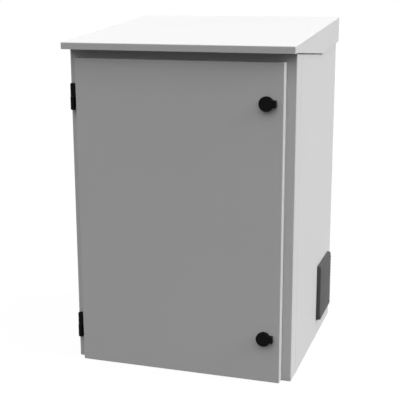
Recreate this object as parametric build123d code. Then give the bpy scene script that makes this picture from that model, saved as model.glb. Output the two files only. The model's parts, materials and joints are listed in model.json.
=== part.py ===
from build123d import *

import math
import os

# Outdoor sheet-steel utility cabinet, in mm. X runs across it, the door faces -Y, Z is up from the base.
body_width = 600.0
body_depth = 543.0
body_height = 855.0
front_y = -257.0
sheet = 1.5
bend = 2.5

half_width = body_width / 2
back_y = front_y + body_depth
inner_half = half_width - sheet
fit_gap = 0.1

# Front frame: a ring of folded sheet with a sealing lip round the opening.
frame_depth = 52.0
frame_back = front_y + frame_depth
opening_half = 266.75
opening_low = 11.5
opening_high = 817.5
lip_length = 14.0
fold_in = 15.0

# Door: a folded pan.
door_left = -276.5
door_right = 274.5
door_low = 2.0
door_high = 827.0
door_thickness = 25.0
door_front = front_y - door_thickness
door_back = front_y - 1.0
skin_inside = door_front + sheet
gasket_width = 10.0
gasket_margin = 3.0
gasket_gap = 0.3

# Side, back, base and top panels.
side_back_fold = 28.0
tray_fold = 20.0
tray_side_start = frame_back + 5.0
tray_side_end = back_y - 18.0
base_sheet = 2.0
base_bolt_x = 250.0
base_bolt_front = -130.0
base_bolt_back = 170.0
base_bolt_radius = 6.25
back_screw_heights = (60.0, 305.0, 550.0, 795.0)
back_screw_x = half_width - 15.0

# Cable entry.
entry_half_x = 100.0
entry_y = (160.0, 240.0)
plate_margin = 20.0
grommet_x = (-66.0, -22.0, 22.0, 66.0)
grommet_radius = 16.0

# Rain roof: one folded hood, higher at the back.
roof_half = 304.8
roof_front = front_y - 45.0
roof_back = back_y + 16.0
roof_front_height = 867.5
roof_back_height = 914.5
roof_lip = 17.7
roof_skirt = 70.5
roof_skirt_turn_y = 60.0
roof_skirt_start_y = front_y - 10.0
roof_slope = math.atan2(roof_back_height - roof_front_height, roof_back - roof_front)
roof_rail_x = 188.0
roof_rail_width = 24.0
roof_rail_y = (-230.0, 270.0)
roof_bolt_y = (-190.0, 230.0)

# Rack rails to the 19-inch pattern: 18 units of 44.45 mm.
rack_units = 18
rack_unit = 44.45
rack_hole = 9.5
rack_hole_offsets = (6.35, 22.225, 38.1)
rack_hole_x = 465.1 / 2
rail_opening_half = 225.4
rail_sheet = 2.0
rail_leg = 35.0
rail_height = rack_units * rack_unit
rail_low = (opening_low + opening_high - rail_height) / 2
rail_front_y = -182.0
rail_back_y = 264.0
brace_depth = 25.0
brace_height = 36.0
brace_y = (-201.0, 278.0)
brace_heights = (42.0, 790.0)
brace_face = inner_half - brace_depth
rail_outer = brace_face
rail_bolt_y = (-165.0, 247.0)

# Hinges on the left: a body half below, a door half above, on one pin.
hinge_x = -289.5
hinge_y = front_y - 13.0
hinge_heights = (97.0, 726.0)
hinge_half = 35.0
hinge_pin_radius = 3.0
hinge_body_radius = 7.0
hinge_door_radius = 6.25
hinge_screw_steps = (10.0, 27.0)
hinge_screw_radius = 2.5
hinge_door_screw_offset = 3.5
running_gap = 0.05

# Quarter-turn locks on the right, each with a dust cover on an upright pin.
lock_x = 232.0
lock_heights = (122.0, 727.5)
lock_flange_radius = 18.0
lock_cover_radius = 18.75
lock_flange_proud = 7.0
lock_shank_radius = 11.0
lock_shank_length = 24.0
lock_core_radius = 7.0
lock_core_head_radius = 8.9
cover_axis_x = 21.0
cover_axis_y = -8.0
cover_knuckle_radius = 3.3
cover_pin_radius = 1.25
cam_reach = 44.0
cam_half_width = 8.0
cam_thickness = 3.0
cam_start = 27.3

# Vents: a filter frame and a louvred cover on each side, with a fan behind the right one.
vent_y = 161.5
intake_height = 131.5
exhaust_height = 690.0
vent_size = 167.0
vent_cutout = 124.0
vent_flange = 160.0
vent_throat = 118.0
vent_gasket = 1.5
vent_screw_reach = 68.0
louvre_pitch = 10.0
louvre_count = 15
louvre_half_width = 71.0
cover_back = 1.7
cover_face = 11.0
louvre_tip = 12.6
fan_size = 119.5
fan_screw_reach = 52.5
fan_bore = 57.0
fan_outer_end = -14.0
fan_depth = 38.0
fan_blades = 7
blade_tip_radius = 55.5
fan_hub_radius = 21.0
fan_shaft_radius = 2.0


def span(low, high):
    """Middle and length of a stretch."""
    return (low + high) / 2, high - low


def block(x, y, z):
    """Box from (low, high) pairs."""
    (cx, dx), (cy, dy), (cz, dz) = span(*x), span(*y), span(*z)
    return Pos(cx, cy, cz) * Box(dx, dy, dz)


def rect(a, b, corner=0.0):
    """Flat rectangle from (low, high) pairs, with round corners if asked."""
    (ca, da), (cb, db) = span(*a), span(*b)
    shape = RectangleRounded(da, db, corner) if corner else Rectangle(da, db)
    return Pos(ca, cb) * shape


def along_x(sketch, x):
    """Section drawn in (Y, Z), run from x low to x high."""
    return extrude(Plane.YZ.offset(x[0]) * sketch, amount=x[1] - x[0])


def along_y(sketch, y):
    """Section drawn in (X, Z), run from y low to y high."""
    return extrude(Plane.XZ.offset(-y[1]) * sketch, amount=y[1] - y[0])


def along_z(sketch, z):
    """Section drawn in (X, Y), run from z low to z high."""
    return extrude(Plane.XY.offset(z[0]) * sketch, amount=z[1] - z[0])


def folded(points, thickness, side=Side.LEFT):
    """Section of a folded sheet, whose outer face follows the points and bends at each."""
    line = FilletPolyline(*points, radius=bend)
    return make_face(offset(line, amount=thickness, side=side).edges())


def rod_x(radius, x, y=0.0, z=0.0):
    middle, length = span(*x)
    return Pos(middle, y, z) * Rot(0, 90, 0) * Cylinder(radius, length)


def rod_y(radius, y, x=0.0, z=0.0):
    middle, length = span(*y)
    return Pos(x, middle, z) * Rot(90, 0, 0) * Cylinder(radius, length)


def rod_z(radius, z, x=0.0, y=0.0):
    middle, length = span(*z)
    return Pos(x, y, middle) * Cylinder(radius, length)


def low_face(shape, axis):
    return shape.faces().sort_by(axis)[0]


def high_face(shape, axis):
    return shape.faces().sort_by(axis)[-1]


def left_copy(shape):
    return mirror(shape, about=Plane.YZ)


def hex_bolt(across, head, radius, length):
    """Bolt with its head above z = 0 and its shank below."""
    hexagon = RegularPolygon(across / 2, 6, major_radius=False)
    return along_z(hexagon, (0, head)) + rod_z(radius, (-length, 0.05))


def round_screw(head_radius, head, radius, length):
    """Low-headed screw with its head above z = 0 and its shank below."""
    top = rod_z(head_radius, (0, head))
    top = fillet(high_face(top, Axis.Z).edges(), head * 0.4)
    return top + rod_z(radius, (-length, 0.05))


def front_frame():
    outer = along_y(rect((-half_width, half_width), (0, body_height), bend), (front_y, frame_back))
    outer = fillet(low_face(outer, Axis.Y).edges() + high_face(outer, Axis.Y).edges(), bend - 0.01)
    inner_z = (sheet, body_height - sheet)
    inner = along_y(rect((-inner_half, inner_half), inner_z, bend - sheet), (front_y + sheet, frame_back - sheet))
    mouth_half = inner_half - fold_in
    mouth_z = (sheet + fold_in, body_height - sheet - fold_in)
    mouth = along_y(rect((-mouth_half, mouth_half), mouth_z), (frame_back - 2 * sheet, frame_back + sheet))
    opening_y = (front_y - 2 * lip_length, front_y + 2 * sheet)
    opening = along_y(rect((-opening_half, opening_half), (opening_low, opening_high), 4.0), opening_y)
    lip_half = opening_half + sheet
    lip_z = (opening_low - sheet, opening_high + sheet)
    lip = along_y(rect((-lip_half, lip_half), lip_z, 4.0 + sheet), (front_y - lip_length, front_y + sheet / 2))
    frame = outer + lip - inner - opening - mouth
    for height in hinge_heights:
        for step in hinge_screw_steps:
            frame -= rod_y(hinge_screw_radius + 0.2, (front_y - 1, front_y + 2 * sheet), hinge_x, height - step)
    return frame


def side_panel(vent_height):
    """Right side panel: the left one is its mirror image at its own vent height."""
    section = folded(
        (
            (inner_half - fold_in, frame_back),
            (half_width, frame_back),
            (half_width, back_y),
            (half_width - side_back_fold, back_y),
        ),
        sheet,
    )
    panel = along_z(section, (0, body_height))
    inside = (0, inner_half - fit_gap)
    panel -= block(inside, (frame_back - 1, back_y + 1), (-1, base_sheet + fit_gap))
    panel -= block(inside, (frame_back - 1, back_y + 1), (body_height - sheet - fit_gap, body_height + 1))
    half = vent_cutout / 2
    window = rect((vent_y - half, vent_y + half), (vent_height - half, vent_height + half), 3.0)
    panel -= along_x(window, (half_width - 10, half_width + 1))
    for side_y in (-vent_screw_reach, vent_screw_reach):
        for side_z in (-vent_screw_reach, vent_screw_reach):
            hole_at = (vent_y + side_y, vent_height + side_z)
            panel -= rod_x(2.1, (half_width - 10, half_width + 1), *hole_at)
    for height in back_screw_heights:
        panel -= rod_y(2.7, (back_y - 3, back_y + 1), back_screw_x, height)
    return panel


def back_panel():
    """Flat sheet behind the side folds, with its top and bottom edges folded in."""
    outside = back_y - sheet
    low = base_sheet
    high = body_height - sheet
    section = folded(((outside - fold_in, low), (outside, low), (outside, high), (outside - fold_in, high)), sheet)
    panel = along_x(section, (-half_width + 4, half_width - 4))
    for x in (-back_screw_x, back_screw_x):
        for height in back_screw_heights:
            panel -= rod_y(2.3, (back_y - 5, back_y), x, height)
    return panel


def tray(thickness):
    """Floor sheet with folded sides and front, corners left open, floor underside at z = 0."""
    side_section = folded(
        (
            (-inner_half, tray_fold),
            (-inner_half, 0),
            (inner_half, 0),
            (inner_half, tray_fold),
        ),
        thickness,
    )
    front_section = folded(((frame_back, tray_fold), (frame_back, 0), (frame_back + 60, 0)), thickness)
    front_half = inner_half - fold_in - 1
    floor = block((-inner_half, inner_half), (frame_back + bend, back_y - 3 * sheet), (0, thickness))
    floor += along_y(side_section, (tray_side_start, tray_side_end))
    return floor + along_x(front_section, (-front_half, front_half))


def base_panel():
    panel = tray(base_sheet)
    window = rect((-entry_half_x, entry_half_x), entry_y, 5.0)
    panel -= along_z(window, (-1, base_sheet + 1))
    for x in (-base_bolt_x, base_bolt_x):
        for y in (base_bolt_front, base_bolt_back):
            panel -= rod_z(base_bolt_radius, (-1, base_sheet + 1), x, y)
    for x, y in gland_screw_places():
        panel -= rod_z(2.3, (-1, base_sheet + 1), x, y)
    return panel


def top_panel():
    panel = Pos(0, 0, body_height) * mirror(tray(sheet), about=Plane.XY)
    for x, y in roof_bolt_places():
        panel -= rod_z(4.2, (body_height - 5, body_height + 1), x, y)
    return panel


def gland_screw_places():
    reach = entry_half_x + plate_margin / 2
    return [(x, y) for x in (-reach, reach) for y in (entry_y[0] - 10, entry_y[1] + 10)]


def gland_plate():
    outline = rect(
        (-entry_half_x - plate_margin, entry_half_x + plate_margin),
        (entry_y[0] - plate_margin, entry_y[1] + plate_margin),
        6.0,
    )
    plate = along_z(outline, (base_sheet, 2 * base_sheet))
    middle = sum(entry_y) / 2
    for x in grommet_x:
        plate -= rod_z(grommet_radius, (0, 3 * base_sheet), x, middle)
    for x, y in gland_screw_places():
        plate -= rod_z(2.6, (0, 3 * base_sheet), x, y)
    return plate


def cable_grommets():
    """Rubber membranes that close the plate's holes until a cable pierces them, one solid each."""
    profile = Polyline(
        (0, 0.5),
        (grommet_radius + 3, 0.5),
        (grommet_radius + 3, base_sheet - fit_gap),
        (grommet_radius - fit_gap, base_sheet - fit_gap),
        (grommet_radius - fit_gap, 2 * base_sheet + fit_gap),
        (grommet_radius + 3, 2 * base_sheet + fit_gap),
        (grommet_radius + 1.5, 7.0),
        (9.0, 18.0),
        (6.0, 19.0),
        (0, 19.0),
        close=True,
    )
    one = revolve(Plane.XZ * make_face(profile), Axis.Z)
    hollow = Polyline((0, 0), (12.5, 0), (12.5, 5.0), (6.5, 16.5), (0, 16.5), close=True)
    one -= revolve(Plane.XZ * make_face(hollow), Axis.Z)
    middle = sum(entry_y) / 2
    return Compound(children=[Pos(x, middle, 0) * one for x in grommet_x])


def roof_top(y):
    """Height of the roof's outer face."""
    return roof_front_height + (y - roof_front) * math.tan(roof_slope)


def rain_roof():
    drop = sheet / math.cos(roof_slope)
    skirt_turn = roof_top(roof_skirt_turn_y) - roof_skirt
    outline = Polyline(
        (roof_front, roof_front_height),
        (roof_back, roof_back_height),
        (roof_back, roof_back_height - roof_skirt),
        (roof_skirt_turn_y, skirt_turn),
        (roof_skirt_start_y, roof_front_height - roof_lip),
        (roof_front, roof_front_height - roof_lip),
        close=True,
    )
    hollow = Polyline(
        (roof_front + sheet, roof_top(roof_front + sheet) - drop),
        (roof_back - sheet, roof_top(roof_back - sheet) - drop),
        (roof_back - sheet, 700),
        (roof_front + sheet, 700),
        close=True,
    )
    outer = along_x(make_face(outline), (-roof_half, roof_half))
    top = high_face(outer, Axis.Z)
    corners = outer.edges().filter_by(Axis.Z)
    outer = fillet(top.edges() + corners, bend)
    inner = along_x(make_face(hollow), (-roof_half + sheet, roof_half - sheet))
    inner = fillet(high_face(inner, Axis.Z).edges() + inner.edges().filter_by(Axis.Z), bend - sheet)
    return outer - inner


def roof_bolt_places():
    x = roof_rail_x + roof_rail_width / 2 + 2
    return [(side * x, y) for side in (-1, 1) for y in roof_bolt_y]


def roof_rail():
    """Wedge-shaped channel on the right that carries the roof, with two welded nuts."""
    drop = sheet / math.cos(roof_slope)
    low, high = roof_rail_y
    under = [(y, roof_top(y) - drop) for y in roof_rail_y]
    web = Polyline((low, body_height), (high, body_height), under[1], under[0], close=True)
    foot = rect((low, high), (body_height, body_height + rail_sheet))
    lower = [(y, z - rail_sheet) for y, z in under]
    head = Polyline(under[0], under[1], lower[1], lower[0], close=True)
    across = (roof_rail_x, roof_rail_x + roof_rail_width)
    rail = along_x(make_face(web), (roof_rail_x, roof_rail_x + rail_sheet))
    rail += along_x(foot, across)
    rail += along_x(make_face(head), across)
    nut = RegularPolygon(6.5, 6, major_radius=False)
    for x, y in roof_bolt_places():
        if x > 0:
            rail += Pos(x, y, 0) * along_z(nut, (body_height + rail_sheet - 0.5, body_height + 8))
            rail -= rod_z(4.1, (body_height - 1, body_height + 9), x, y)
    return rail


def roof_bolts():
    one = Rot(180, 0, 0) * hex_bolt(13.0, 5.3, 4.0, 10.0)
    height = body_height - sheet
    return Compound(children=[Pos(x, y, height) * one for x, y in roof_bolt_places()])


def rack_rail(face_y, leg_y):
    """Right-hand angle with square holes: its face at face_y, its leg running to leg_y."""
    inward = 1 if leg_y > face_y else -1
    section = folded(
        ((rail_opening_half, face_y), (rail_outer, face_y), (rail_outer, leg_y)),
        rail_sheet,
        Side.LEFT if inward > 0 else Side.RIGHT,
    )
    rail = along_z(section, (rail_low, rail_low + rail_height))
    middle = face_y + inward * rail_sheet / 2
    heights = [rail_low + unit * rack_unit + step for unit in range(rack_units) for step in rack_hole_offsets]
    squares = Sketch() + [Pos(rack_hole_x, z) * Rectangle(rack_hole, rack_hole) for z in heights]
    rail -= along_y(squares, (middle - 2, middle + 2))
    bolt_y = min(rail_bolt_y, key=lambda y: abs(y - face_y))
    for z in brace_heights:
        rail -= rod_x(3.2, (rail_outer - 5, rail_outer + 1), bolt_y, z)
    return rail


def rail_brace(height):
    """Right-hand channel welded to the side panel, slotted so that the rails can move in depth."""
    half = brace_height / 2
    section = folded(
        (
            (inner_half, height - half),
            (brace_face, height - half),
            (brace_face, height + half),
            (inner_half, height + half),
        ),
        rail_sheet,
        Side.RIGHT,
    )
    brace = along_y(section, brace_y)
    step = (rail_bolt_y[1] - rail_bolt_y[0]) / 5
    slots = [Pos(rail_bolt_y[0] + step * i, height) * SlotOverall(50, 7) for i in range(6)]
    return brace - along_x(Sketch() + slots, (brace_face - 1, brace_face + 3))


def rail_bolts():
    """Eight bolts through the rail legs into the braces, one solid each."""
    one = Rot(0, -90, 0) * hex_bolt(10.0, 4.0, 3.0, 12.0)
    other = Rot(0, 90, 0) * hex_bolt(10.0, 4.0, 3.0, 12.0)
    seat = rail_outer - rail_sheet
    places = [(y, z) for y in rail_bolt_y for z in brace_heights]
    right = [Pos(seat, y, z) * one for y, z in places]
    left = [Pos(-seat, y, z) * other for y, z in places]
    return Compound(children=right + left)


def door_panel():
    outline = rect((door_left, door_right), (door_low, door_high), bend)
    outer = along_y(outline, (door_front, door_back))
    outer = fillet(low_face(outer, Axis.Y).edges(), bend - 0.01)
    hollow_x = (door_left + sheet, door_right - sheet)
    hollow_z = (door_low + sheet, door_high - sheet)
    hollow = along_y(rect(hollow_x, hollow_z, bend - sheet), (skin_inside, door_back + 1))
    hollow = fillet(low_face(hollow, Axis.Y).edges(), bend - sheet - 0.01)
    door = outer - hollow
    for height in lock_heights:
        door -= rod_y(lock_shank_radius + 0.2, (door_front - 1, skin_inside + 1), lock_x, height)
    screw_y = hinge_y + hinge_door_screw_offset
    for height in hinge_heights:
        for step in hinge_screw_steps:
            door -= rod_x(hinge_screw_radius + 0.2, (door_left - 1, door_left + 3), screw_y, height + step)
    return door


def door_gasket():
    """Foam ring on the inside of the door, which the frame's lip presses into."""
    depth = (skin_inside, front_y - lip_length - gasket_gap)
    inset = sheet + gasket_margin
    x = (door_left + inset, door_right - inset)
    z = (door_low + inset, door_high - inset)
    ring = along_y(rect(x, z, 12.0), depth)
    x_in = (x[0] + gasket_width, x[1] - gasket_width)
    z_in = (z[0] + gasket_width, z[1] - gasket_width)
    ring -= along_y(rect(x_in, z_in, 4.0), (depth[0] - 1, depth[1] + 1))
    return chamfer(high_face(ring, Axis.Y).edges(), 2.0)


def door_stiffener():
    """Right-hand hat-shaped rail welded to the door's inside, with holes for fixing cables."""
    x, half, depth = 170.0, 15.0, 14.0
    section = folded(
        (
            (x - half, skin_inside),
            (x - half, skin_inside + depth),
            (x + half, skin_inside + depth),
            (x + half, skin_inside),
        ),
        sheet,
        Side.RIGHT,
    )
    rail = along_z(section, (42.0, 787.0))
    for i in range(9):
        rail -= rod_y(4.5, (skin_inside + depth - 3, skin_inside + depth + 1), x, 74.5 + 85.0 * i)
    return rail


def hinge_body_half():
    """Lower knuckle with its foot on the frame, pin axis on Z, hinge middle at z = 0."""
    low, high = -hinge_half, -1.0
    barrel = rod_z(hinge_body_radius, (low, high))
    barrel = fillet(low_face(barrel, Axis.Z).edges(), 2.5)
    foot = along_z(rect((-7.5, 7.0), (0, front_y - hinge_y)), (low + 1.5, high))
    foot = fillet(foot.edges().filter_by(Axis.Z).sort_by(Axis.Y)[-2:], 1.5)
    half = barrel + foot - rod_z(hinge_pin_radius + 0.02, (low + 2, high + 1))
    for step in hinge_screw_steps:
        half -= rod_y(hinge_screw_radius - 0.3, (5.5, front_y - hinge_y + 1), 0, -step)
    return half


def hinge_door_half():
    """Upper knuckle with its arm to the door's edge."""
    low, high = 1.2, hinge_half
    barrel = rod_z(hinge_door_radius, (low, high))
    barrel = fillet(high_face(barrel, Axis.Z).edges(), 2.5)
    edge = door_left - hinge_x
    arm = block((0, edge), (-5, 8), (low, high - 1.5))
    arm = fillet(arm.edges().filter_by(Axis.Z).sort_by(Axis.X)[:2], 1.5)
    pad = block((edge - 3, edge), (-9, 9), (low, high - 1.5))
    half = barrel + arm + pad - rod_z(hinge_pin_radius + running_gap, (low - 1, high - 2))
    for step in hinge_screw_steps:
        half -= rod_x(hinge_screw_radius - 0.3, (edge - 8, edge + 1), hinge_door_screw_offset, step)
    return half


def hinge_pins():
    pin = rod_z(hinge_pin_radius, (-hinge_half + 2.2, hinge_half - 2.2))
    pin = chamfer(pin.edges().filter_by(GeomType.CIRCLE), 0.6)
    return Compound(children=[Pos(hinge_x, hinge_y, height) * pin for height in hinge_heights])


def hinge_washers():
    one = rod_z(6.5, (-1, 1)) - rod_z(hinge_pin_radius + 0.1, (-2, 2))
    return Compound(children=[Pos(hinge_x, hinge_y, height) * one for height in hinge_heights])


def hinge_frame_screws():
    """Screws from inside the frame into the body halves, one solid each."""
    one = Rot(-90, 0, 0) * round_screw(4.5, 2.8, hinge_screw_radius - 0.35, 7.0)
    places = [height - step for height in hinge_heights for step in hinge_screw_steps]
    return Compound(children=[Pos(hinge_x, front_y + sheet, z) * one for z in places])


def hinge_door_screws():
    """Screws from inside the door's edge into the door halves, one solid each."""
    one = Rot(0, 90, 0) * round_screw(4.0, 2.4, hinge_screw_radius - 0.35, 8.0)
    places = [height + step for height in hinge_heights for step in hinge_screw_steps]
    y = hinge_y + hinge_door_screw_offset
    return Compound(children=[Pos(door_left + sheet, y, z) * one for z in places])


def lock_housing():
    """Round flange, threaded shank and two ears for the cover's pin. The door skin is at y = 0."""
    flange = rod_y(lock_flange_radius, (-lock_flange_proud, 0))
    flange = fillet(low_face(flange, Axis.Y).edges(), 1.0)
    ear_x = (cover_axis_x - cover_knuckle_radius, cover_axis_x + cover_knuckle_radius)
    ear = block(ear_x, (cover_axis_y, 0), (-9, 9)) + rod_z(cover_knuckle_radius, (-9, 9), cover_axis_x, cover_axis_y)
    bridge = block((12, cover_axis_x), (-lock_flange_proud + 1, 0), (-9, 9))
    body = flange + ear + bridge + rod_y(lock_shank_radius, (-1, lock_shank_length))
    body -= block((cover_axis_x - 3.8, cover_axis_x + 5), (cover_axis_y - 5, cover_axis_y + 3.8), (-4.7, 4.7))
    body -= rod_z(cover_pin_radius + 0.02, (-10, 10), cover_axis_x, cover_axis_y)
    body -= rod_y(lock_core_radius + running_gap, (-lock_flange_proud - 1, lock_shank_length + 1))
    return body - rod_y(lock_core_head_radius + running_gap, (-lock_flange_proud - 1, -1.0))


def lock_nuts():
    ring = along_y(RegularPolygon(15.0, 6, major_radius=False), (sheet, sheet + 5.0))
    ring -= rod_y(lock_shank_radius + 0.05, (0, 8))
    return Compound(children=[at_lock(ring, height) for height in lock_heights])


def lock_core():
    """Turning plug with a keyed pocket in front and a square stub behind for the cam."""
    core = rod_y(lock_core_radius, (-2.0, cam_start)) + rod_y(lock_core_head_radius, (-5.0, -1.05))
    stub = rect((-3.95, 3.95), (-3.95, 3.95))
    core += along_y(stub, (cam_start - 0.5, cam_start + cam_thickness - 0.1))
    pocket = rect((-4.2, 4.2), (-4.2, 4.2), 1.5) + rect((-6.2, 6.2), (-1.3, 1.3))
    core -= along_y(pocket, (-6, 6))
    return core - rod_y(2.6, (cam_start - 9, cam_start + 5))


def lock_cam():
    """Latch bar, hanging down when the lock is open."""
    outline = rect((-cam_half_width, cam_half_width), (-cam_reach, 10.0), 4.0)
    cam = along_y(outline, (cam_start, cam_start + cam_thickness))
    return cam - along_y(rect((-4, 4), (-4, 4)), (cam_start - 1, cam_start + cam_thickness + 1))


def lock_cam_bolt():
    end = cam_start + cam_thickness
    bolt = Rot(-90, 0, 0) * hex_bolt(8.0, 3.5, 2.5, 10.0)
    washer = rod_y(6.5, (end, end + 1.2)) - rod_y(2.6, (end - 1, end + 2))
    return washer + Pos(0, end + 1.2, 0) * bolt


def lock_cover():
    """Dust cover: a shallow disc with its knuckle between the housing's ears."""
    disc = rod_y(lock_cover_radius, (-12.0, -7.4))
    disc = fillet(low_face(disc, Axis.Y).edges(), 1.6)
    disc -= block((cover_axis_x - 3.7, 30), (-20, 0), (-30, 30))
    disc -= rod_y(14.5, (-8.9, -7.0))
    arm = block((cover_axis_x - 7, cover_axis_x), (cover_axis_y - 3.3, -7.4), (-4.5, 4.5))
    knuckle = rod_z(cover_knuckle_radius, (-4.5, 4.5), cover_axis_x, cover_axis_y)
    return disc + arm + knuckle - rod_z(cover_pin_radius + running_gap, (-6, 6), cover_axis_x, cover_axis_y)


def lock_cover_pins():
    one = rod_z(cover_pin_radius, (-8.9, 8.9), cover_axis_x, cover_axis_y)
    return Compound(children=[at_lock(one, height) for height in lock_heights])


def at_lock(shape, height):
    return Pos(lock_x, door_front, height) * shape


def vent_frame():
    """Flange outside, collar through the panel, upright bars that guard the fan. Panel face at x = 0."""
    half, throat = vent_flange / 2, vent_throat / 2
    collar = throat + 2.0
    flange_x = (vent_gasket, vent_gasket + 3.0)
    collar_x = (fan_outer_end, vent_gasket + 0.1)
    frame = along_x(rect((-half, half), (-half, half), 4.0), flange_x)
    frame += along_x(rect((-collar, collar), (-collar, collar), 3.0), collar_x)
    frame -= along_x(rect((-throat, throat), (-throat, throat), 1.5), (fan_outer_end - 1, half))
    rim = rect((-throat - 1, throat + 1), (-throat - 1, throat + 1)) - Circle(fan_bore)
    frame += along_x(rim, (fan_outer_end, fan_outer_end + 3.0))
    for i in range(-2, 3):
        frame += block((-3.0, 0.0), (i * 19.5 - 1.5, i * 19.5 + 1.5), (-throat - 1, throat + 1))
    for y in (-1, 1):
        for z in (-1, 1):
            frame -= rod_x(2.1, (0, 6), y * vent_screw_reach, z * vent_screw_reach)
            frame -= rod_x(2.0, (fan_outer_end - 1, fan_outer_end + 4), y * fan_screw_reach, z * fan_screw_reach)
    return frame


def vent_seal():
    outer, inner = 78.0, vent_cutout / 2 + 1
    ring = rect((-outer, outer), (-outer, outer), 4.0) - rect((-inner, inner), (-inner, inner), 3.0)
    for y in (-1, 1):
        for z in (-1, 1):
            ring -= Pos(y * vent_screw_reach, z * vent_screw_reach) * Circle(2.3)
    return along_x(ring, (0, vent_gasket))


def vent_screws():
    """Four screws that hold each vent frame to its panel, one solid each."""
    one = Rot(0, 90, 0) * round_screw(3.6, 2.2, 1.9, 10.0)
    seat = vent_gasket + 3.0
    reach = vent_screw_reach
    four = [Pos(seat, y * reach, z * reach) * one for y in (-1, 1) for z in (-1, 1)]
    return Compound(children=[at_intake(screw) for screw in four] + [at_exhaust(screw) for screw in four])


def filter_mat():
    half = vent_throat / 2 - 0.5
    mat = along_x(rect((-half, half), (-half, half), 3.0), (0.1, 8.0))
    return chamfer(high_face(mat, Axis.X).edges(), 0.8)


def vent_cover():
    """Louvred cover: saw-toothed front, hollow behind, one slanted slot under each tooth's drip edge."""
    half = vent_size / 2
    field = louvre_pitch * louvre_count / 2
    points = [(cover_back, -half), (cover_face - 2, -half), (cover_face, -half + 2), (cover_face, -field)]
    for i in range(louvre_count):
        low = -field + i * louvre_pitch
        points += [(louvre_tip, low), (cover_face - 0.4, low + louvre_pitch)]
    points += [(cover_face, field), (cover_face, half - 2), (cover_face - 2, half), (cover_back, half)]
    cover = along_y(make_face(Polyline(*points, close=True)), (-half, half))
    cover = fillet(cover.edges().filter_by(Axis.X), 3.0)
    wall = half - 2.5
    cover -= along_x(rect((-wall, wall), (-wall, wall), 1.5), (0, cover_face - 2.6))
    slots = Sketch()
    for i in range(1, louvre_count + 1):
        low = -field + i * louvre_pitch
        slot = Polyline(
            (louvre_tip + 1, low - 4.6),
            (louvre_tip + 1, low - 0.9),
            (cover_face - 4, low + 3.4),
            (cover_face - 4, low - 0.3),
            close=True,
        )
        slots += make_face(slot)
    return cover - along_y(slots, (-louvre_half_width, louvre_half_width))


def fan_housing():
    """Square axial fan body: two flanges, a tube between them, three struts and the motor's fixed half."""
    outer_end, inner_end = fan_outer_end, fan_outer_end - fan_depth
    half = fan_size / 2
    square = rect((-half, half), (-half, half), 6.0)
    body = along_x(square, (inner_end, inner_end + 4)) + along_x(square, (outer_end - 4, outer_end))
    body += rod_x(fan_bore + 2, (inner_end, outer_end))
    body -= rod_x(fan_bore, (inner_end - 1, outer_end + 1))
    stator = rod_x(fan_hub_radius + 1, (inner_end, inner_end + 6))
    for i in range(3):
        strut = block((inner_end, inner_end + 4), (-2.5, 2.5), (fan_hub_radius - 2, fan_bore + 1))
        stator += Rot(120 * i + 30, 0, 0) * strut
    body += stator
    body -= rod_x(fan_shaft_radius + running_gap, (inner_end + 1, inner_end + 7))
    for y in (-1, 1):
        for z in (-1, 1):
            body -= rod_x(2.2, (inner_end - 1, outer_end + 1), y * fan_screw_reach, z * fan_screw_reach)
    return body


def fan_rotor():
    """Hub cup with twisted blades and the shaft that runs in the motor's fixed half."""
    inner_end = fan_outer_end - fan_depth
    hub_x = (inner_end + 6.5, fan_outer_end - 4)
    hub = rod_x(fan_hub_radius, hub_x)
    hub = fillet(high_face(hub, Axis.X).edges(), 3.0)
    hub += rod_x(fan_shaft_radius, (inner_end + 2, hub_x[0] + 1))
    middle = sum(hub_x) / 2
    root = Plane(origin=(middle, 0, fan_hub_radius - 2), x_dir=(1, 0, 0), z_dir=(0, 0, 1))
    tip = Plane(origin=(middle, 6, blade_tip_radius + 2), x_dir=(1, 0, 0), z_dir=(0, 0, 1))
    blade = loft([root * Rot(0, 0, 38) * Rectangle(25, 2.4), tip * Rot(0, 0, 55) * Rectangle(33, 1.6)])
    blade &= rod_x(blade_tip_radius, (inner_end, fan_outer_end))
    for i in range(fan_blades):
        hub += Rot(360 / fan_blades * i, 0, 0) * blade
    return hub


def fan_screws():
    one = Rot(0, -90, 0) * round_screw(3.4, 2.0, 1.9, fan_depth + 2.5)
    seat = fan_outer_end - fan_depth
    reach = fan_screw_reach
    four = [Pos(seat, y * reach, z * reach) * one for y in (-1, 1) for z in (-1, 1)]
    return Compound(children=[at_intake(screw) for screw in four])


def at_intake(shape):
    return Pos(half_width, vent_y, intake_height) * shape


def at_exhaust(shape):
    return Pos(-half_width, vent_y, exhaust_height) * Rot(0, 0, 180) * shape


def earth_stud():
    stud = rod_z(4.0, (base_sheet, 28.0), 150.0, -150.0)
    return stud + rod_z(6.5, (base_sheet, base_sheet + 2), 150.0, -150.0)


def earth_nut():
    hexagon = RegularPolygon(6.5, 6, major_radius=False)
    nut = along_z(hexagon, (9.6, 16.1)) + rod_z(8.0, (8.0, 9.6))
    return Pos(150.0, -150.0, 0) * (nut - rod_z(4.1, (7, 17)))


def panel_screws():
    """Screws of the gland plate and the back panel, one solid each."""
    plate_screw = round_screw(4.5, 2.6, 2.2, 3.8)
    screws = [Pos(x, y, 2 * base_sheet) * plate_screw for x, y in gland_screw_places()]
    back_screw = Rot(-90, 0, 0) * round_screw(4.5, 2.6, 2.2, 8.0)
    for x in (-back_screw_x, back_screw_x):
        screws += [Pos(x, back_y, z) * back_screw for z in back_screw_heights]
    return Compound(children=screws)


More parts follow.
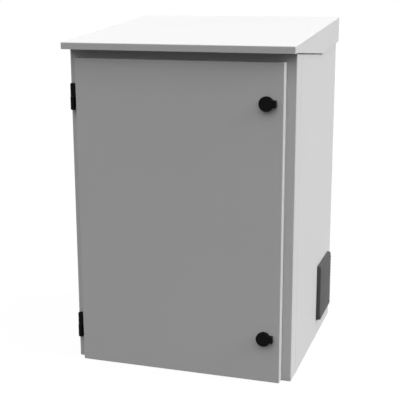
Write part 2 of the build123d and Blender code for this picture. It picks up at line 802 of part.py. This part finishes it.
def sub_parts():
    """Every piece by its name."""
    parts = {
        "front_frame": front_frame(),
        "right_side_panel": side_panel(intake_height),
        "left_side_panel": left_copy(side_panel(exhaust_height)),
        "back_panel": back_panel(),
        "base_panel": base_panel(),
        "top_panel": top_panel(),
        "gland_plate": gland_plate(),
        "cable_grommets": cable_grommets(),
        "rain_roof": rain_roof(),
        "roof_rail_right": roof_rail(),
        "roof_rail_left": left_copy(roof_rail()),
        "roof_bolts": roof_bolts(),
        "rail_bolts": rail_bolts(),
        "panel_screws": panel_screws(),
        "earth_stud": earth_stud(),
        "earth_nut": earth_nut(),
        "hinge_pins": hinge_pins(),
        "hinge_washers": hinge_washers(),
        "hinge_frame_screws": hinge_frame_screws(),
        "hinge_door_screws": hinge_door_screws(),
        "door_panel": door_panel(),
        "door_gasket": door_gasket(),
        "door_stiffener_right": door_stiffener(),
        "door_stiffener_left": left_copy(door_stiffener()),
        "lock_nuts": lock_nuts(),
        "lock_cover_pins": lock_cover_pins(),
        "intake_frame": at_intake(vent_frame()),
        "intake_cover": at_intake(vent_cover()),
        "intake_seal": at_intake(vent_seal()),
        "intake_filter": at_intake(filter_mat()),
        "vent_screws": vent_screws(),
        "fan_housing": at_intake(fan_housing()),
        "fan_rotor": at_intake(fan_rotor()),
        "fan_screws": fan_screws(),
        "exhaust_frame": at_exhaust(vent_frame()),
        "exhaust_cover": at_exhaust(vent_cover()),
        "exhaust_seal": at_exhaust(vent_seal()),
        "exhaust_filter": at_exhaust(filter_mat()),
    }
    front_rail = rack_rail(rail_front_y, rail_front_y + rail_leg)
    back_rail = rack_rail(rail_back_y, rail_back_y - rail_leg)
    parts["rack_rail_front_right"] = front_rail
    parts["rack_rail_front_left"] = left_copy(front_rail)
    parts["rack_rail_back_right"] = back_rail
    parts["rack_rail_back_left"] = left_copy(back_rail)
    for name, height in zip(("lower", "upper"), brace_heights):
        parts[f"{name}_brace_right"] = rail_brace(height)
        parts[f"{name}_brace_left"] = left_copy(rail_brace(height))
    for name, hinge_height, lock_height in zip(("lower", "upper"), hinge_heights, lock_heights):
        at_hinge = Pos(hinge_x, hinge_y, hinge_height)
        parts[f"{name}_hinge_body_half"] = at_hinge * hinge_body_half()
        parts[f"{name}_hinge_door_half"] = at_hinge * hinge_door_half()
        parts[f"{name}_lock_housing"] = at_lock(lock_housing(), lock_height)
        parts[f"{name}_lock_core"] = at_lock(lock_core(), lock_height)
        parts[f"{name}_lock_cam"] = at_lock(lock_cam(), lock_height)
        parts[f"{name}_lock_cam_bolt"] = at_lock(lock_cam_bolt(), lock_height)
        parts[f"{name}_lock_cover"] = at_lock(lock_cover(), lock_height)
    return parts


def main():
    os.makedirs("parts", exist_ok=True)
    for name, shape in sub_parts().items():
        export_step(shape, f"parts/{name}.step")


main()
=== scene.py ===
import json
import math

import bpy
from mathutils import Euler, Matrix, Vector


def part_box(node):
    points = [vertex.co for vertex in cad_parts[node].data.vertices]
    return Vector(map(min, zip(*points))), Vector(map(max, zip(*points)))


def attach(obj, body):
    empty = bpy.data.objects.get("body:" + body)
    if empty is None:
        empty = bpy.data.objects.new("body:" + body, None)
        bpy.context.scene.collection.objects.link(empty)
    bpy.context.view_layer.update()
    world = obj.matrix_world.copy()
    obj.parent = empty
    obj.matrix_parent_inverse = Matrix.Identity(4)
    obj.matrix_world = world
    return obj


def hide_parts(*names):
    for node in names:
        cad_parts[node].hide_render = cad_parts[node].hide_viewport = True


# Looks of a sheet-steel utility cabinet: finishes of its CAD nodes, small detail, light, camera.
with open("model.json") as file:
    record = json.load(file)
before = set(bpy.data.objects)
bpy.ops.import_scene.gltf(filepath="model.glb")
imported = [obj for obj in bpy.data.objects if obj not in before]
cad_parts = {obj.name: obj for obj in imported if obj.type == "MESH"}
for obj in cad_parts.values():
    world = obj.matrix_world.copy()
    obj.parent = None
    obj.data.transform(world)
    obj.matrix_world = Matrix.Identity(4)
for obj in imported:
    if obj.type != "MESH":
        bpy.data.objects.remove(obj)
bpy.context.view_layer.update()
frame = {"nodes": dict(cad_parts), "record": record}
MM = 0.001

# Camera that the photograph's edges give, in metres and radians, its lens and sensor in mm.
CAMERA_PLACE = (0.761219, -2.449384, 1.014058)
CAMERA_YAW = 0.3125
CAMERA_PITCH = -0.232
CAMERA_ROLL = -0.0032
CAMERA_LENS = 82.89
CAMERA_SENSOR = 36.0

# Studio. A light's level is what a white face turned to it shows, and its spread is in degrees.
ZENITH_LEVEL = 1.85
DOME_FADE = 1.5
KEY_LIGHT = {"direction": (0.83, 0.05, 0.56), "level": 0.77, "spread": 25.0}
FILL_LIGHT = {"direction": (-0.5, -0.75, 0.7), "level": 0.08, "spread": 50.0}
FLOOR_SIZE = 60.0
FLOOR_SHOWN = 0.9
FLOOR_AS_LIGHT = 0.05
FLOOR_GLOW = 0.95

# Edges sharper than these angles stay crisp, in degrees.
NODE_EDGE_ANGLE = 32.0
PIECE_EDGE_ANGLE = 40.0
RIM_EDGE_ANGLE = 50.0

# How closely a face's normal, or an edge's run, has to follow an axis to be picked.
FACES_AXIS = 0.9
RUNS_ALONG = 0.8

# Louvred vent covers, in mm. Backs, fronts and tips are measured from the side panel's face.
RIM_BACK = 1.7
RIM_FRONT = 10.4
RIM_WALL = 2.5
RIM_CORNER = 3.0
RIM_ROUNDING = 0.9
RIM_TAPER = 0.965
BEZEL_WIDTH = 5.0
BLADE_BACK = 8.4
BLADE_TIP = 12.6
BLADE_DROP = 5.6
BLADE_HEIGHT = 2.4
BLADE_ROUNDING = 0.7
BLADE_END_GAP = 1.0
BLADE_PITCH = 10.0
BLADE_COUNT = 15
SILL_HEIGHT = 7.0
SILL_DROP = 4.5
SILL_SETBACK = 0.6
RIB_DEPTH = 1.5
RIB_WIDTH = 1.6
RIB_ROUNDING = 0.4
RIB_OVERRUN = 2.0
RIB_PITCH = 20.0
RIB_COUNT = 7

# Sealing in the grooves beside the front frame, in mm. The rounding is a share of the radius.
SEAM_RADIUS = 0.9
SEAM_SETBACK = 1.8
SEAM_END_GAP = 1.0
SEAM_ROUNDING = 0.6

# Fan guard, in mm. Standoffs are measured from the fan housing's inner face.
WIRE_RADIUS = 0.9
WIRE_SIDES = 10
GUARD_RINGS = (14, 25, 36, 47, 58)
RING_STANDOFF = 2.0
SPOKE_STANDOFF = 3.7
SPOKE_OVERRUN = 2.0
EYE_RADIUS = 4.7
EYE_STANDOFF = 0.9
FAN_SCREW_REACH = 52.5
FEWEST_RING_STEPS = 24
RING_STEPS_PER_MM = 1.4
MERGE_DISTANCE = 0.01


class Signal:
    """A value in a node tree. Arithmetic on it adds Math nodes."""

    def __init__(self, graph, socket):
        self.graph = graph
        self.socket = socket

    def maths(self, operation, *values):
        """One Math node on the values."""
        return self.graph.node("Math", {"operation": operation}, dict(enumerate(values)))

    def __add__(self, other):
        return self.maths("ADD", self, other)

    __radd__ = __add__

    def __sub__(self, other):
        return self.maths("SUBTRACT", self, other)

    def __rsub__(self, other):
        return self.maths("SUBTRACT", other, self)

    def __mul__(self, other):
        return self.maths("MULTIPLY", self, other)

    __rmul__ = __mul__

    def __pow__(self, other):
        return self.maths("POWER", self, other)

    def __rpow__(self, other):
        return self.maths("POWER", other, self)

    def limited(self):
        """The value kept between 0 and 1."""
        return self.graph.node("Clamp", {}, {"Value": self})


class Graph:
    """The node tree of a material or of the world."""

    def __init__(self, tree):
        self.tree = tree

    def node(self, kind, settings=None, inputs=None, output=0):
        """Adds a node, with its settings and its sockets' values or links, and gives one output."""
        made = self.tree.nodes.new("ShaderNode" + kind)
        for name, value in (settings or {}).items():
            setattr(made, name, value)
        for socket, value in (inputs or {}).items():
            self.feed(made.inputs[socket], value)
        return Signal(self, made.outputs[output])

    def feed(self, socket, value):
        """Links a value in the tree to the socket, or sets a plain one on it."""
        if isinstance(value, Signal):
            self.tree.links.new(value.socket, socket)
        else:
            socket.default_value = value

    def seen_directly(self):
        """1 where the eye looks, straight or in a reflection, and 0 for light that is gathered."""
        kinds = ("Camera", "Glossy", "Transmission")
        rays = [self.node("LightPath", output=f"Is {kind} Ray") for kind in kinds]
        return (rays[0] + rays[1] + rays[2]).limited()


class Finish(Graph):
    """A material on a Principled shader, whose constants are set on its own sockets."""

    def __init__(self, name, **constants):
        self.material = bpy.data.materials.new(name)
        self.material.use_nodes = True
        super().__init__(self.material.node_tree)
        self.shader = self.tree.nodes["Principled BSDF"]
        for socket, value in constants.items():
            self.shader.inputs[socket.replace("_", " ")].default_value = value

    def place(self):
        """Position on the object, in metres."""
        return self.node("TexCoord", output="Object")

    def stretched(self, x, y, z):
        """Position scaled on each axis, for brushed or fibrous patterns."""
        inputs = {"Vector": self.place(), "Scale": (x, y, z)}
        return self.node("Mapping", {"vector_type": "POINT"}, inputs)

    def noise(self, scale, detail=2.0, roughness=0.5, place=None):
        """Cloudy pattern between 0 and 1, its scale per metre."""
        inputs = {"Vector": place or self.place(), "Scale": scale}
        inputs.update({"Detail": detail, "Roughness": roughness})
        return self.node("TexNoise", {}, inputs)

    def cells(self, scale, output="Distance"):
        """Pattern of crystals or pores, its scale per metre."""
        return self.node("TexVoronoi", {}, {"Vector": self.place(), "Scale": scale}, output)

    def between(self, mask, low, high):
        """Colour that goes from low to high with the mask."""
        settings = {"data_type": "RGBA", "clamp_factor": True}
        # The node repeats its socket names for each data type, so the colours go by number.
        return self.node("Mix", settings, {0: mask, 6: low, 7: high}, output=2)

    def colour(self, value):
        self.feed(self.shader.inputs["Base Color"], value)

    def roughness(self, value):
        self.feed(self.shader.inputs["Roughness"], value)

    def relief(self, height, depth, strength):
        """Bumps on the surface, as deep as given in mm."""
        inputs = {"Height": height, "Distance": depth * MM, "Strength": strength}
        self.feed(self.shader.inputs["Normal"], self.node("Bump", {}, inputs))


def grey(level, warmth=0.0):
    """Linear grey, a little warmer or cooler."""
    return (level * (1 + warmth), level, level * (1 - warmth), 1.0)


def powder_coat():
    """Light grey textured polyester powder on steel: fine orange peel with a slight sheen."""
    finish = Finish("light_grey_powder_coat", Specular_IOR_Level=0.35)
    peel = finish.noise(420.0, detail=3.0, roughness=0.55)
    drift = finish.noise(2.2)
    finish.colour(finish.between(drift, grey(0.60, 0.002), grey(0.64, 0.002)))
    finish.roughness(0.50 + 0.12 * peel)
    finish.relief(peel, depth=0.12, strength=0.55)
    return finish.material


def galvanised_sheet():
    """Hot-dip galvanised steel with its crystal spangle."""
    finish = Finish("galvanised_steel", Metallic=0.9)
    spangle = finish.cells(90.0, output="Color")
    flakes = finish.node("SeparateColor", {}, {"Color": spangle})
    grain = finish.noise(700.0)
    finish.colour(finish.between(flakes, grey(0.42, -0.01), grey(0.60, -0.01)))
    finish.roughness(0.34 + 0.16 * flakes + 0.08 * grain)
    finish.relief(flakes + grain * 0.4, depth=0.06, strength=0.4)
    return finish.material


def zinc_plating():
    """Bright zinc on screws, bolts and nuts."""
    finish = Finish("zinc_plating", Metallic=1.0)
    handling = finish.noise(160.0, detail=3.0)
    finish.colour(finish.between(handling, grey(0.58, -0.01), grey(0.70, -0.02)))
    finish.roughness(0.26 + 0.18 * handling)
    finish.relief(finish.noise(1200.0), depth=0.04, strength=0.3)
    return finish.material


def black_casting():
    """Black powder on zinc die castings, slightly grained."""
    finish = Finish("black_coated_casting", Specular_IOR_Level=0.08)
    grain = finish.noise(900.0)
    finish.colour(finish.between(finish.noise(60.0), grey(0.002), grey(0.004)))
    finish.roughness(0.42 + 0.14 * grain)
    finish.relief(grain, depth=0.08, strength=0.5)
    return finish.material


def black_plastic():
    """Glass-filled nylon of the lock housings and their covers, spark-eroded texture."""
    finish = Finish("black_nylon", Specular_IOR_Level=0.08)
    grain = finish.noise(1400.0, roughness=0.6)
    finish.colour(finish.between(finish.noise(90.0), grey(0.002), grey(0.004)))
    finish.roughness(0.46 + 0.16 * grain)
    finish.relief(grain, depth=0.06, strength=0.5)
    return finish.material


def lock_metal():
    """Satin nickel on the lock's turning parts, brushed along its height."""
    finish = Finish("satin_nickel", Metallic=1.0)
    brushed = finish.noise(300.0, place=finish.stretched(1.0, 1.0, 9.0))
    finish.colour(finish.between(brushed, grey(0.45, 0.015), grey(0.56, 0.015)))
    finish.roughness(0.30 + 0.16 * brushed)
    finish.relief(brushed, depth=0.03, strength=0.4)
    return finish.material


def vent_plastic():
    """Grey weatherproof plastic of the vent frames and covers."""
    finish = Finish("mid_grey_plastic", Specular_IOR_Level=0.12)
    grain = finish.noise(1100.0)
    finish.colour(finish.between(finish.noise(25.0), grey(0.070, 0.004), grey(0.084, 0.004)))
    finish.roughness(0.46 + 0.14 * grain)
    finish.relief(grain, depth=0.05, strength=0.5)
    return finish.material


def fan_plastic():
    """Black plastic of the fan."""
    finish = Finish("black_fan_plastic", Specular_IOR_Level=0.3)
    grain = finish.noise(1300.0)
    finish.colour(finish.between(grain, grey(0.012), grey(0.02)))
    finish.roughness(0.40 + 0.2 * grain)
    finish.relief(grain, depth=0.04, strength=0.4)
    return finish.material


def filter_fleece():
    """White needled fleece, matted fibres with soft clumps."""
    finish = Finish("needled_fleece", Specular_IOR_Level=0.1)
    fibres = finish.noise(800.0, detail=4.0, roughness=0.7, place=finish.stretched(1.0, 3.0, 0.6))
    clumps = finish.noise(70.0, detail=3.0)
    mat = fibres * 0.6 + clumps * 0.4
    finish.colour(finish.between(mat, grey(0.50, 0.02), grey(0.80, 0.02)))
    finish.roughness(0.86 + 0.1 * fibres)
    finish.relief(fibres + clumps, depth=0.6, strength=0.7)
    return finish.material


def foam_rubber():
    """Black foamed sealing with open pores."""
    finish = Finish("foamed_sealing", Specular_IOR_Level=0.15)
    pores = finish.cells(1500.0)
    finish.colour(finish.between(pores, grey(0.012), grey(0.035)))
    finish.roughness(0.78 + 0.15 * pores)
    finish.relief(pores, depth=0.3, strength=0.6)
    return finish.material


def grommet_rubber():
    """Black moulded rubber of the cable grommets, with a faint bloom."""
    finish = Finish("moulded_rubber", Specular_IOR_Level=0.3)
    bloom = finish.noise(140.0, detail=3.0)
    finish.colour(finish.between(bloom, grey(0.015), grey(0.03)))
    finish.roughness(0.55 + 0.2 * bloom)
    finish.relief(finish.noise(900.0), depth=0.06, strength=0.4)
    return finish.material


def washer_plastic():
    """Black nylon of the thrust washers."""
    finish = Finish("black_washer_nylon", Specular_IOR_Level=0.2)
    cloud = finish.noise(250.0)
    finish.colour(finish.between(cloud, grey(0.006), grey(0.012)))
    finish.roughness(0.35 + 0.15 * cloud)
    finish.relief(cloud, depth=0.04, strength=0.3)
    return finish.material


FINISHES = {
    "powder_coat": powder_coat,
    "galvanised_sheet": galvanised_sheet,
    "plated_fasteners": zinc_plating,
    "black_casting": black_casting,
    "black_plastic": black_plastic,
    "lock_metal": lock_metal,
    "vent_plastic": vent_plastic,
    "fan_plastic": fan_plastic,
    "filter_fleece": filter_fleece,
    "foam_rubber": foam_rubber,
    "grommet_rubber": grommet_rubber,
    "washer_plastic": washer_plastic,
}


def finish_nodes():
    """Gives each CAD node the finish of its material slot in the record."""
    made = {slot: make() for slot, make in FINISHES.items()}
    for part in frame["record"]["subparts"]:
        node = frame["nodes"][part["node"]]
        node.data.materials.clear()
        node.data.materials.append(made[part["material_slot"]])
    return made


def smooth_bends():
    """Shades the curved faces of the CAD nodes smoothly and keeps their edges sharp."""
    bpy.ops.object.select_all(action="DESELECT")
    for node in frame["nodes"].values():
        node.select_set(True)
    bpy.context.view_layer.objects.active = frame["nodes"]["door_panel"]
    bpy.ops.object.shade_smooth_by_angle(angle=math.radians(NODE_EDGE_ANGLE))
    bpy.ops.object.select_all(action="DESELECT")


def modelled(name, body, slot, finishes):
    """Ends the modelling of the active piece, and gives it its name, body and finish."""
    bpy.ops.object.transform_apply(location=True, rotation=True, scale=True)
    bpy.ops.object.shade_smooth_by_angle(angle=math.radians(PIECE_EDGE_ANGLE))
    piece = bpy.context.object
    piece.name = name
    piece.data.materials.clear()
    piece.data.materials.append(finishes[slot])
    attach(piece, body)
    bpy.ops.object.select_all(action="DESELECT")


def new_block(low, high):
    """Block between two corners, the start of a piece."""
    bpy.ops.object.select_all(action="DESELECT")
    middle = (low + high) / 2
    bpy.ops.mesh.primitive_cube_add(size=1.0, location=middle, scale=high - low)
    bpy.ops.object.transform_apply(location=True, rotation=True, scale=True)
    return bpy.context.object


def pick(piece, kind, wanted):
    """Goes into edit mode with only the faces or edges selected that pass the test."""
    bpy.ops.object.mode_set(mode="EDIT")
    bpy.ops.mesh.select_mode(type=kind)
    bpy.ops.mesh.select_all(action="DESELECT")
    bpy.ops.object.mode_set(mode="OBJECT")
    for item in piece.data.polygons if kind == "FACE" else piece.data.edges:
        item.select = wanted(item)
    bpy.ops.object.mode_set(mode="EDIT")


def pick_outer_face(piece):
    """Goes into edit mode with the faces selected that look away from the side panel."""
    pick(piece, "FACE", lambda face: face.normal.x > FACES_AXIS)


def pick_edges_along_x(piece):
    """Goes into edit mode with the edges selected that run along X."""

    def along_x(edge):
        start, end = (piece.data.vertices[index].co for index in edge.vertices)
        return abs(end.x - start.x) > RUNS_ALONG * (end - start).length

    pick(piece, "EDGE", along_x)


def apply_modifier(piece, kind, **settings):
    """Adds a modifier to the active piece and applies it."""
    modifier = piece.modifiers.new(kind.lower(), kind)
    for name, value in settings.items():
        setattr(modifier, name, value)
    bpy.ops.object.modifier_apply(modifier=modifier.name)


def joined(pieces):
    """Makes one piece of several, and leaves it active and alone selected."""
    bpy.ops.object.select_all(action="DESELECT")
    for piece in pieces:
        piece.select_set(True)
    bpy.context.view_layer.objects.active = pieces[0]
    bpy.ops.object.join()
    return bpy.context.object


def louvre_rim(panel_face, half):
    """Tapered walls of a cover, with round corners and a bezel, open behind and in the middle."""
    low = panel_face + Vector((RIM_BACK, -half, -half)) * MM
    high = panel_face + Vector((RIM_FRONT, half, half)) * MM
    rim = new_block(low, high)
    pick(rim, "FACE", lambda face: face.normal.x < -FACES_AXIS)
    bpy.ops.mesh.delete(type="FACE")
    pick_outer_face(rim)
    taper = (1.0, RIM_TAPER, RIM_TAPER)
    bpy.ops.transform.resize(value=taper, center_override=panel_face)
    bpy.ops.mesh.inset(thickness=BEZEL_WIDTH * MM)
    bpy.ops.mesh.delete(type="FACE")
    pick_edges_along_x(rim)
    bpy.ops.mesh.bevel(offset=RIM_CORNER * MM, segments=6, affect="EDGES")
    bpy.ops.object.mode_set(mode="OBJECT")
    apply_modifier(
        rim, "SOLIDIFY", thickness=RIM_WALL * MM, offset=-1.0, use_even_offset=True)
    apply_modifier(
        rim, "BEVEL", width=RIM_ROUNDING * MM, segments=3,
        limit_method="ANGLE", angle_limit=math.radians(RIM_EDGE_ANGLE))
    return rim


def louvre_bar(panel_face, low, high, drop, rounding, segments):
    """Bar of a cover: its outer face is drawn down and rounded. Corners and drop are in mm."""
    bar = new_block(panel_face + Vector(low) * MM, panel_face + Vector(high) * MM)
    pick_outer_face(bar)
    bpy.ops.transform.translate(value=(0, 0, -drop * MM))
    bpy.ops.mesh.bevel(offset=rounding * MM, segments=segments, affect="EDGES")
    bpy.ops.object.mode_set(mode="OBJECT")
    return bar


def repeat_bar(bar, count, step):
    """Repeats the bar in a row, with the step from one to the next in mm."""
    apply_modifier(
        bar, "ARRAY", count=count, use_relative_offset=False, use_constant_offset=True,
        constant_offset_displace=Vector(step) * MM)


def louvre_blades(panel_face, reach):
    """Slanted blades of a cover: one is modelled and repeated upward."""
    lowest = -BLADE_PITCH * BLADE_COUNT / 2 + BLADE_DROP
    low = (BLADE_BACK, -reach, lowest)
    high = (BLADE_TIP, reach, lowest + BLADE_HEIGHT)
    blade = louvre_bar(
        panel_face, low, high, drop=BLADE_DROP, rounding=BLADE_ROUNDING, segments=3)
    repeat_bar(blade, BLADE_COUNT, (0, 0, BLADE_PITCH))
    return blade


def louvre_sill(panel_face, reach):
    """Sloped sill under the lowest blade, which sheds the water over the rim."""
    top = SILL_DROP - BLADE_PITCH * BLADE_COUNT / 2
    low = (BLADE_BACK, -reach, top - SILL_HEIGHT)
    high = (BLADE_TIP - SILL_SETBACK, reach, top)
    return louvre_bar(
        panel_face, low, high, drop=SILL_DROP, rounding=BLADE_ROUNDING, segments=3)


def louvre_ribs(panel_face):
    """Upright ribs behind the blades, which carry them between the rim's walls."""
    first = -RIB_PITCH * (RIB_COUNT - 1) / 2
    reach = BLADE_PITCH * BLADE_COUNT / 2 + RIB_OVERRUN
    low = (BLADE_BACK, first - RIB_WIDTH / 2, -reach)
    high = (BLADE_BACK + RIB_DEPTH, first + RIB_WIDTH / 2, reach)
    rib = louvre_bar(panel_face, low, high, drop=0.0, rounding=RIB_ROUNDING, segments=2)
    repeat_bar(rib, RIB_COUNT, (0, RIB_PITCH, 0))
    return rib


def louvred_covers(finishes):
    """The cover with open gaps between its blades, and a turned copy of it for the exhaust."""
    low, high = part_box("intake_cover")
    half = (high[1] - low[1]) / 2 / MM
    reach = half * RIM_TAPER - BLADE_END_GAP
    centre_y, centre_z = (low[1] + high[1]) / 2, (low[2] + high[2]) / 2
    panel_face = Vector((high[0] - BLADE_TIP * MM, centre_y, centre_z))
    intake = joined([
        louvre_rim(panel_face, half),
        louvre_blades(panel_face, reach),
        louvre_sill(panel_face, reach),
        louvre_ribs(panel_face),
    ])
    bpy.ops.object.duplicate()
    exhaust = bpy.context.object
    exhaust_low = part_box("exhaust_cover")[0]
    exhaust.rotation_euler = (0, 0, math.pi)
    exhaust.location = (0, 2 * panel_face.y, exhaust_low[2] - low[2])
    modelled("exhaust_louvres", "exhaust_louvre", "vent_plastic", finishes)
    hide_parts("exhaust_cover")
    intake.select_set(True)
    bpy.context.view_layer.objects.active = intake
    modelled("intake_louvres", "intake_louvre", "vent_plastic", finishes)
    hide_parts("intake_cover")


def seam_bead(name, side, finishes):
    """Sealing compound at the bottom of the groove between the front frame and a side panel."""
    low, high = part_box("front_frame")
    length = high[2] - low[2] - 2 * SEAM_END_GAP * MM
    place = (side * (high[0] - SEAM_SETBACK * MM), high[1], (low[2] + high[2]) / 2)
    bpy.ops.object.select_all(action="DESELECT")
    bpy.ops.mesh.primitive_cylinder_add(
        vertices=20, radius=SEAM_RADIUS * MM, depth=length, location=place)
    pick(bpy.context.object, "FACE", lambda face: abs(face.normal.z) > FACES_AXIS)
    bpy.ops.mesh.bevel(offset=SEAM_ROUNDING * SEAM_RADIUS * MM, segments=4, affect="EDGES")
    bpy.ops.mesh.select_all(action="SELECT")
    bpy.ops.mesh.subdivide(number_cuts=1)
    bpy.ops.object.mode_set(mode="OBJECT")
    modelled(name, "cabinet", "foam_rubber", finishes)


def wire_ring(centre, radius):
    """Ring of round wire across the X axis: a round section spun about the middle."""
    bpy.ops.object.select_all(action="DESELECT")
    start = centre + Vector((0, radius * MM, 0))
    bpy.ops.mesh.primitive_circle_add(
        vertices=WIRE_SIDES, radius=WIRE_RADIUS * MM, location=start)
    bpy.ops.object.mode_set(mode="EDIT")
    bpy.ops.mesh.select_all(action="SELECT")
    steps = max(FEWEST_RING_STEPS, int(radius * RING_STEPS_PER_MM))
    bpy.ops.mesh.spin(steps=steps, angle=2 * math.pi, center=centre, axis=(1, 0, 0))
    bpy.ops.mesh.select_all(action="SELECT")
    bpy.ops.mesh.remove_doubles(threshold=MERGE_DISTANCE * MM)
    bpy.ops.mesh.normals_make_consistent(inside=False)
    bpy.ops.object.mode_set(mode="OBJECT")
    return bpy.context.object


def bent_wire(points):
    """Round wire through the points: a round section pushed out from each to the next."""
    bpy.ops.object.select_all(action="DESELECT")
    turn = (points[1] - points[0]).to_track_quat("Z", "Y").to_euler()
    bpy.ops.mesh.primitive_circle_add(
        vertices=WIRE_SIDES, radius=WIRE_RADIUS * MM, fill_type="NGON",
        location=points[0], rotation=turn)
    bpy.ops.object.mode_set(mode="EDIT")
    bpy.ops.mesh.select_all(action="SELECT")
    for start, end in zip(points, points[1:]):
        bpy.ops.mesh.extrude_region_move(TRANSFORM_OT_translate={"value": end - start})
    bpy.ops.mesh.select_all(action="SELECT")
    bpy.ops.mesh.normals_make_consistent(inside=False)
    bpy.ops.object.mode_set(mode="OBJECT")
    return bpy.context.object


def fan_guard(finishes):
    """Wire guard on the fan: rings, and four spokes bent down to eyes round the screw heads."""
    low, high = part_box("fan_housing")
    middle = Vector((low[0], (low[1] + high[1]) / 2, (low[2] + high[2]) / 2))
    ring_plane = middle - Vector((RING_STANDOFF * MM, 0, 0))
    spoke_plane = middle - Vector((SPOKE_STANDOFF * MM, 0, 0))
    eye_plane = middle - Vector((EYE_STANDOFF * MM, 0, 0))
    wires = [wire_ring(ring_plane, radius) for radius in GUARD_RINGS]
    for y in (-1, 1):
        for z in (-1, 1):
            outward = Vector((0, y, z)).normalized()
            screw = eye_plane + Vector((0, y, z)) * FAN_SCREW_REACH * MM
            wires.append(wire_ring(screw, EYE_RADIUS))
            wires.append(bent_wire([
                spoke_plane + outward * (GUARD_RINGS[0] - SPOKE_OVERRUN) * MM,
                spoke_plane + outward * (GUARD_RINGS[-1] + SPOKE_OVERRUN) * MM,
                screw - outward * EYE_RADIUS * MM,
            ]))
    joined(wires)
    modelled("fan_guard", "cabinet", "plated_fasteners", finishes)


def studio_floor():
    """Pale floor: white to the eye under a faint shadow, and dull as a source of light."""
    bpy.ops.mesh.primitive_plane_add(size=FLOOR_SIZE, location=(0, 0, 0))
    floor = bpy.context.object
    floor.name = "studio_floor"
    paint = Finish("studio_floor_paint", Roughness=0.9, Specular_IOR_Level=0.0)
    shown = paint.seen_directly()
    paint.colour(paint.between(shown, grey(FLOOR_AS_LIGHT), grey(FLOOR_SHOWN)))
    glow = paint.node("Emission", {}, {"Color": grey(1.0), "Strength": 1.0})
    painted = Signal(paint, paint.shader.outputs[0])
    blend = paint.node("MixShader", {}, {0: shown * FLOOR_GLOW, 1: painted, 2: glow})
    paint.feed(paint.tree.nodes["Material Output"].inputs["Surface"], blend)
    floor.data.materials.append(paint.material)


def studio_world():
    """White to the eye and in reflections. Its light fades from the zenith to the horizon."""
    world = bpy.data.worlds.new("studio_world")
    world.use_nodes = True
    bpy.context.scene.world = world
    sky = Graph(world.node_tree)
    direction = sky.node("TexCoord", output="Generated")
    height = sky.node("SeparateXYZ", {}, {"Vector": direction}, output="Z").limited()
    shown = sky.seen_directly()
    gathered = (1 - shown) * height ** DOME_FADE * ZENITH_LEVEL
    background = sky.tree.nodes["Background"]
    sky.feed(background.inputs["Color"], grey(1.0))
    sky.feed(background.inputs["Strength"], shown + gathered)


def soft_sun(name, direction, level, spread):
    """Soft light from a direction."""
    lamp = bpy.data.lights.new(name, "SUN")
    lamp.energy = level * math.pi
    lamp.angle = math.radians(spread)
    sun = bpy.data.objects.new(name, lamp)
    sun.rotation_euler = Vector(direction).to_track_quat("Z", "Y").to_euler()
    bpy.context.scene.collection.objects.link(sun)


def photo_camera():
    """Camera at the photograph's place and angle."""
    lens = bpy.data.cameras.new("photo_camera")
    lens.lens = CAMERA_LENS
    lens.sensor_width = CAMERA_SENSOR
    camera = bpy.data.objects.new("photo_camera", lens)
    camera.location = CAMERA_PLACE
    aim = Euler((math.pi / 2 + CAMERA_PITCH, 0.0, CAMERA_YAW)).to_matrix()
    camera.rotation_euler = (aim @ Matrix.Rotation(CAMERA_ROLL, 3, "Z")).to_euler()
    bpy.context.scene.collection.objects.link(camera)
    bpy.context.scene.camera = camera


finishes = finish_nodes()
smooth_bends()
seam_bead("right_seam_bead", 1, finishes)
seam_bead("left_seam_bead", -1, finishes)
fan_guard(finishes)
louvred_covers(finishes)
studio_floor()
studio_world()
soft_sun("key_from_upper_right", **KEY_LIGHT)
soft_sun("fill_from_front_left", **FILL_LIGHT)
photo_camera()
bpy.context.scene.view_settings.view_transform = "Standard"
